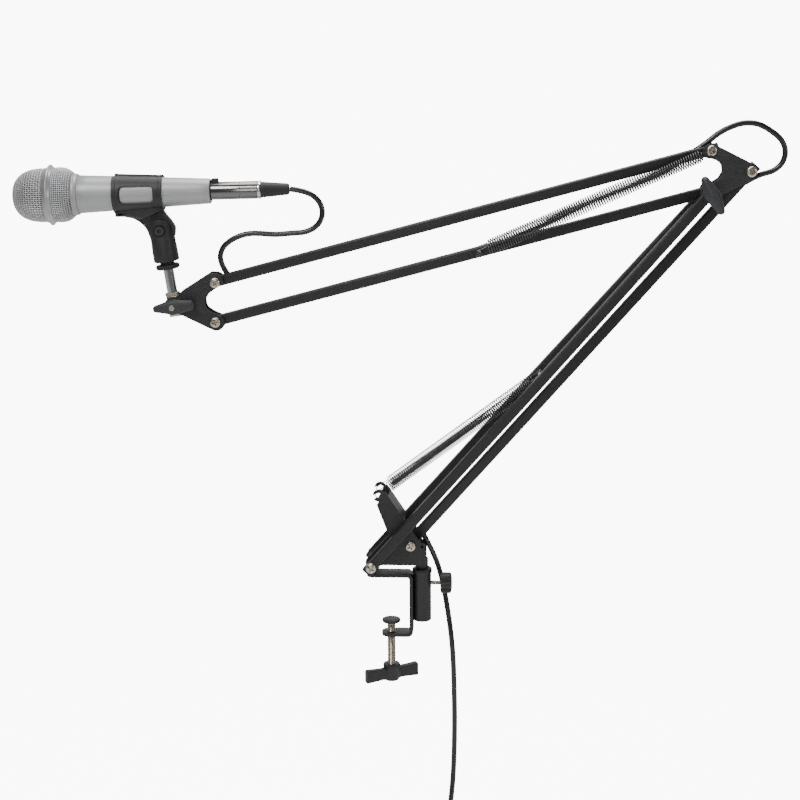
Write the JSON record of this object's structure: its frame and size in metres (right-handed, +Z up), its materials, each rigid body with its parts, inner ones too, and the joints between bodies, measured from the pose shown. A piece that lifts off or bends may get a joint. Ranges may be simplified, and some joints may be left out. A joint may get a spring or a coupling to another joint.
{
  "type": "microphone on a desk boom arm",
  "caption": "Handheld microphone in a slotted clip on a spring-balanced scissor boom arm with a screw clamp for a desk edge and a cable that runs through the square tubes.",
  "frame": {"origin": "on the underside of the clamp's top jaw, where it rests on the desk, on the clamp screw's axis", "axes": "+Z up, +X along the boom away from the microphone, +Y across the boom towards the far side"},
  "size_m": [0.6962, 0.0746, 0.8284],
  "materials": {
    "black_steel": "fine textured black powder coat",
    "elbow_steel": "satin black powder coat",
    "nickel": "warm nickel plate",
    "chrome": "polished chrome",
    "spring_wire": "blackened spring wire",
    "black_plastic": "moulded matte",
    "mic_paint": "light grey satin",
    "grille": "woven wire mesh",
    "foam": "open foam",
    "dark_plastic": "moulded",
    "zinc": "zinc plate",
    "shell_metal": "gunmetal plate",
    "rubber": "soft matte",
    "cable": "smooth glossy jacket"
  },
  "bodies": {
    "clamp": {"clamp_frame": "black_steel", "clamp_socket": "black_steel", "cord_tail": "cable", "cord_coil": "cable", "cord_tie": "black_plastic", "tail_plug": "shell_metal"},
    "column": {"base_bracket": "black_steel", "base_stem": "black_steel", "base_bolt_a": "nickel", "base_bolt_b": "nickel", "base_sleeve_a": "nickel", "base_sleeve_b": "nickel"},
    "lower_centre": {"lower_tube_centre": "black_steel"},
    "lower_outer": {"lower_tube_front": "black_steel", "lower_tube_rear": "black_steel", "lower_spring_pin": "nickel", "lower_spring_front": "spring_wire", "lower_spring_rear": "spring_wire"},
    "elbow": {"elbow_plate_front": "elbow_steel", "elbow_plate_rear": "elbow_steel", "elbow_bolt_upper": "nickel", "elbow_bolt_rear": "nickel", "elbow_bolt_main": "nickel"},
    "elbow_knob": {"elbow_knob": "black_plastic"},
    "upper_top": {"upper_tube_top": "black_steel", "cord_head": "cable", "cord_elbow": "cable"},
    "upper_bottom": {"upper_tube_bottom": "black_steel", "upper_spring_pin": "nickel", "upper_spring_front": "spring_wire", "upper_spring_rear": "spring_wire"},
    "head": {"head_plate_front": "black_steel", "head_plate_rear": "black_steel", "head_bolt_upper": "nickel", "head_bolt_lower": "nickel", "wing_bolt": "nickel"},
    "wing_nut": {"wing_nut": "black_plastic"},
    "stud": {"stud_rod": "chrome", "stud_block": "zinc"},
    "fork": {"clip_fork": "black_plastic", "clip_flange": "black_plastic", "clip_screw": "nickel", "clip_nut": "nickel"},
    "clip": {"clip_sleeve": "black_plastic"},
    "mic": {"mic_body": "mic_paint", "mic_grille_front": "grille", "mic_grille_rear": "grille", "mic_ring": "grille", "mic_collar": "mic_paint", "mic_foam": "foam", "mic_capsule": "dark_plastic", "mic_insert": "dark_plastic", "plug_shell": "shell_metal", "plug_boot": "rubber"},
    "latch": {"plug_latch": "black_plastic"},
    "thumb_screw": {"thumb_shank": "zinc"},
    "thumb_knob": {"thumb_knob": "black_plastic"},
    "pad": {"clamp_pad": "zinc"},
    "screw": {"clamp_screw": "zinc", "clamp_handle": "black_plastic"}
  },
  "joints": [
    {"name": "base_swivel", "type": "hinge", "parent": "clamp", "child": "column", "pos_m": [0.0293, 0, 0], "axis": [0, 0, 1], "range_deg": [-90, 90]},
    {"name": "lower_arm", "type": "hinge", "parent": "column", "child": "lower_centre", "pos_m": [0.0192, 0, 0.033], "axis": [0, 1, 0], "range_deg": [-35, 3], "deforming": ["cord_tail"]},
    {"name": "lower_arm_outer", "type": "hinge", "parent": "column", "child": "lower_outer", "pos_m": [-0.017, 0, 0.015], "axis": [0, 1, 0], "range_deg": [-35, 3], "deforming": ["lower_spring_front", "lower_spring_rear"]},
    {"name": "elbow_link", "type": "hinge", "parent": "lower_centre", "child": "elbow", "pos_m": [0.32286, 0, 0.37986], "axis": [0, 1, 0], "range_deg": [-3, 35]},
    {"name": "upper_arm", "type": "hinge", "parent": "elbow", "child": "upper_top", "pos_m": [0.28716, 0, 0.39836], "axis": [0, 1, 0], "range_deg": [-25, 45], "deforming": ["cord_elbow"]},
    {"name": "upper_arm_lower_tube", "type": "hinge", "parent": "elbow", "child": "upper_bottom", "pos_m": [0.28666, 0, 0.36186], "axis": [0, 1, 0], "range_deg": [-25, 45], "deforming": ["upper_spring_front", "upper_spring_rear"]},
    {"name": "elbow_knob_spin", "type": "hinge", "parent": "elbow", "child": "elbow_knob", "pos_m": [0.28666, 0, 0.36186], "axis": [0, 1, 0], "continuous": true},
    {"name": "head_link", "type": "hinge", "parent": "upper_top", "child": "head", "pos_m": [-0.15814, 0, 0.27905], "axis": [0, 1, 0], "range_deg": [-45, 25], "deforming": ["cord_head"]},
    {"name": "wing_nut_spin", "type": "hinge", "parent": "head", "child": "wing_nut", "pos_m": [-0.1967, 0, 0.2575], "axis": [0, 1, 0], "continuous": true},
    {"name": "wing_tilt", "type": "hinge", "parent": "head", "child": "stud", "pos_m": [-0.1967, 0, 0.2575], "axis": [0, 1, 0], "range_deg": [-45, 10], "deforming": ["cord_head"]},
    {"name": "stud_swivel", "type": "hinge", "parent": "stud", "child": "fork", "pos_m": [-0.1967, 0, 0.2575], "axis": [-0.1414, 0, 0.9899], "range_deg": [-45, 45], "deforming": ["cord_head"]},
    {"name": "clip_tilt", "type": "hinge", "parent": "fork", "child": "clip", "pos_m": [-0.2066, 0, 0.3268], "axis": [0, 1, 0], "range_deg": [-30, 24], "deforming": ["cord_head"]},
    {"name": "mic_slide", "type": "slide", "parent": "clip", "child": "mic", "axis": [-0.9997, 0, -0.0255], "range_m": [0, 0.045], "deforming": ["cord_head"]},
    {"name": "latch_press", "type": "slide", "parent": "mic", "child": "latch", "axis": [0.0255, 0, -0.9997], "range_m": [0, 0.0012], "stiffness_N_per_m": 400},
    {"name": "thumb_slide", "type": "slide", "parent": "clamp", "child": "thumb_screw", "axis": [1, 0, 0], "range_m": [0, 0.0056]},
    {"name": "thumb_spin", "type": "hinge", "parent": "thumb_screw", "child": "thumb_knob", "pos_m": [0.05, 0, -0.0071], "axis": [1, 0, 0], "range_deg": [0, 2880]},
    {"name": "pad_slide", "type": "slide", "parent": "clamp", "child": "pad", "axis": [0, 0, 1], "range_m": [-0.005, 0.028]},
    {"name": "screw_spin", "type": "hinge", "parent": "pad", "child": "screw", "pos_m": [0, 0, -0.07], "axis": [0, 0, 1], "range_deg": [-1440, 8064]}
  ],
  "couplings": [
    {"joint": "lower_arm_outer", "follows": "lower_arm", "ratio": 1},
    {"joint": "elbow_link", "follows": "lower_arm", "ratio": -1},
    {"joint": "upper_arm_lower_tube", "follows": "upper_arm", "ratio": 1},
    {"joint": "head_link", "follows": "upper_arm", "ratio": -1},
    {"joint": "thumb_slide", "follows": "thumb_spin", "m_per_rad": 0.00011141},
    {"joint": "pad_slide", "follows": "screw_spin", "m_per_rad": 0.00019894}
  ]
}
